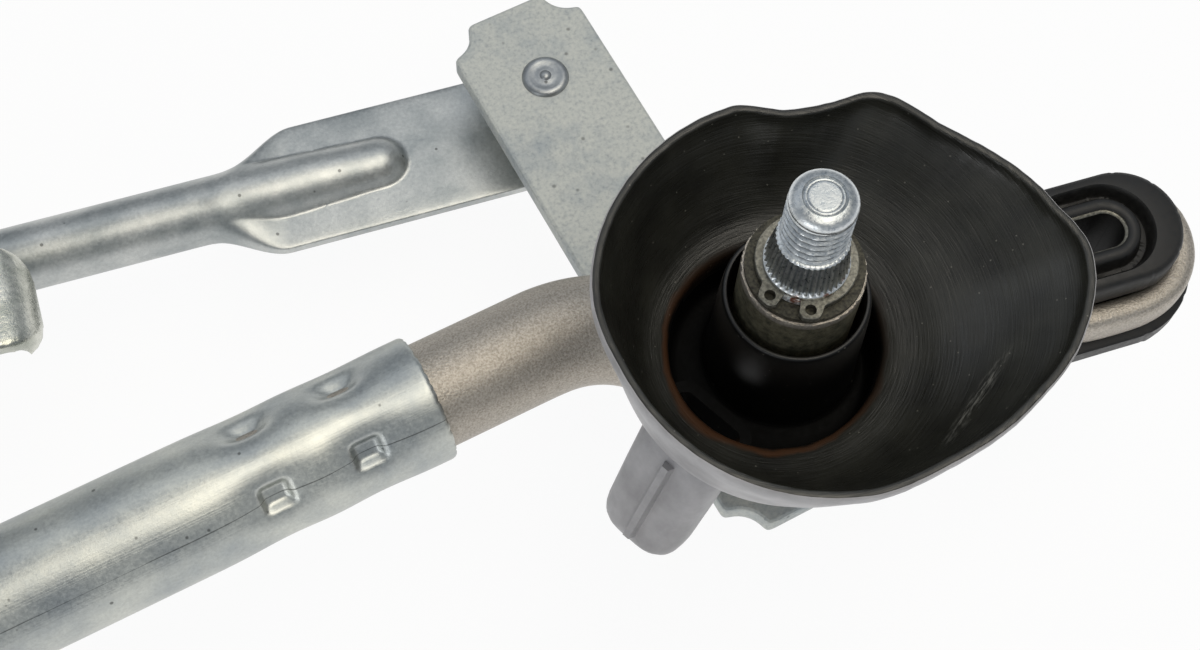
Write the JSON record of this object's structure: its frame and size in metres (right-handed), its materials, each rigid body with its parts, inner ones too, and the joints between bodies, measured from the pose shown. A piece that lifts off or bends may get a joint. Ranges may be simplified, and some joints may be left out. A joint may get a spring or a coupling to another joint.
{
  "type": "windscreen wiper linkage",
  "caption": "Windscreen wiper linkage: a bowed steel tube with cast pivot housings, water shields, cranks on threaded wiper posts, a parallel coupler rod and a drive rod with ball joints.",
  "frame": {"origin": "midway between the two end bolt slots, at the height of the frame tube's axis", "axes": "+X from the left pivot to the right pivot along the bolt line, +Y to the back where the motor sits, +Z along the pivot shafts towards the wiper arms"},
  "size_m": [0.677, 0.1661, 0.1238],
  "materials": {
    "zinc_steel": "zinc-plated, satin",
    "zinc_crank": "matt zinc, pale grey",
    "cast_aluminium": "as die-cast, fine grain",
    "sintered_bronze": "oil-soaked sintered bronze",
    "black_rubber": "matt moulded rubber",
    "black_plastic": "moulded, lightly worn",
    "dark_steel": "phosphated spring steel",
    "pale_nylon": "natural moulded nylon"
  },
  "bodies": {
    "frame": {"frame_tube": "zinc_steel", "pivot_housing_right": "cast_aluminium", "pivot_housing_left": "cast_aluminium", "upper_bush_right": "sintered_bronze", "upper_bush_left": "sintered_bronze", "lower_bush_right": "sintered_bronze", "lower_bush_left": "sintered_bronze", "shaft_seal_right": "black_rubber", "shaft_seal_left": "black_rubber", "water_shield_right": "black_plastic", "water_shield_left": "black_plastic", "grommet_right": "black_rubber", "grommet_left": "black_rubber", "mount_sleeve_right": "dark_steel", "mount_sleeve_left": "dark_steel", "motor_bracket": "zinc_steel", "grommet_middle": "black_rubber", "mount_sleeve_middle": "dark_steel"},
    "pivot_right": {"pivot_shaft_right": "zinc_steel", "crank_arm_right": "zinc_crank", "ball_stud_right": "zinc_steel", "circlip_right": "dark_steel", "rim_washer_right": "dark_steel", "thrust_washer_right": "pale_nylon"},
    "pivot_left": {"pivot_shaft_left": "zinc_steel", "crank_arm_left": "zinc_crank", "double_ball_stud_left": "zinc_steel", "circlip_left": "dark_steel", "rim_washer_left": "dark_steel", "thrust_washer_left": "pale_nylon"},
    "coupler_link": {"coupler_rod": "zinc_steel", "coupler_socket_right": "pale_nylon", "coupler_socket_left": "pale_nylon"},
    "drive_link": {"drive_rod": "zinc_steel", "drive_socket_crank": "pale_nylon", "drive_socket_motor": "pale_nylon"}
  },
  "joints": [
    {"name": "wiper_left", "type": "hinge", "parent": "frame", "child": "pivot_left", "pos_m": [-0.26, -0.008, 0], "axis": [0, 0, 1], "range_deg": [-52.8, 31.2]},
    {"name": "wiper_right", "type": "hinge", "parent": "frame", "child": "pivot_right", "pos_m": [0.26, -0.008, 0], "axis": [0, 0, 1], "range_deg": [-52.8, 31.2]},
    {"name": "coupler_swing", "type": "hinge", "parent": "pivot_left", "child": "coupler_link", "pos_m": [-0.27484, 0.0698, -0.0307], "axis": [0, 0, 1], "range_deg": [-31.2, 52.8]},
    {"name": "drive_swing", "type": "hinge", "parent": "coupler_link", "child": "drive_link", "pos_m": [-0.27484, 0.0698, -0.0477], "axis": [0, 0, 1], "range_deg": [-13.5, 4]}
  ],
  "couplings": [
    {"joint": "wiper_right", "follows": "wiper_left", "ratio": 1},
    {"joint": "coupler_swing", "follows": "wiper_left", "ratio": -1}
  ]
}
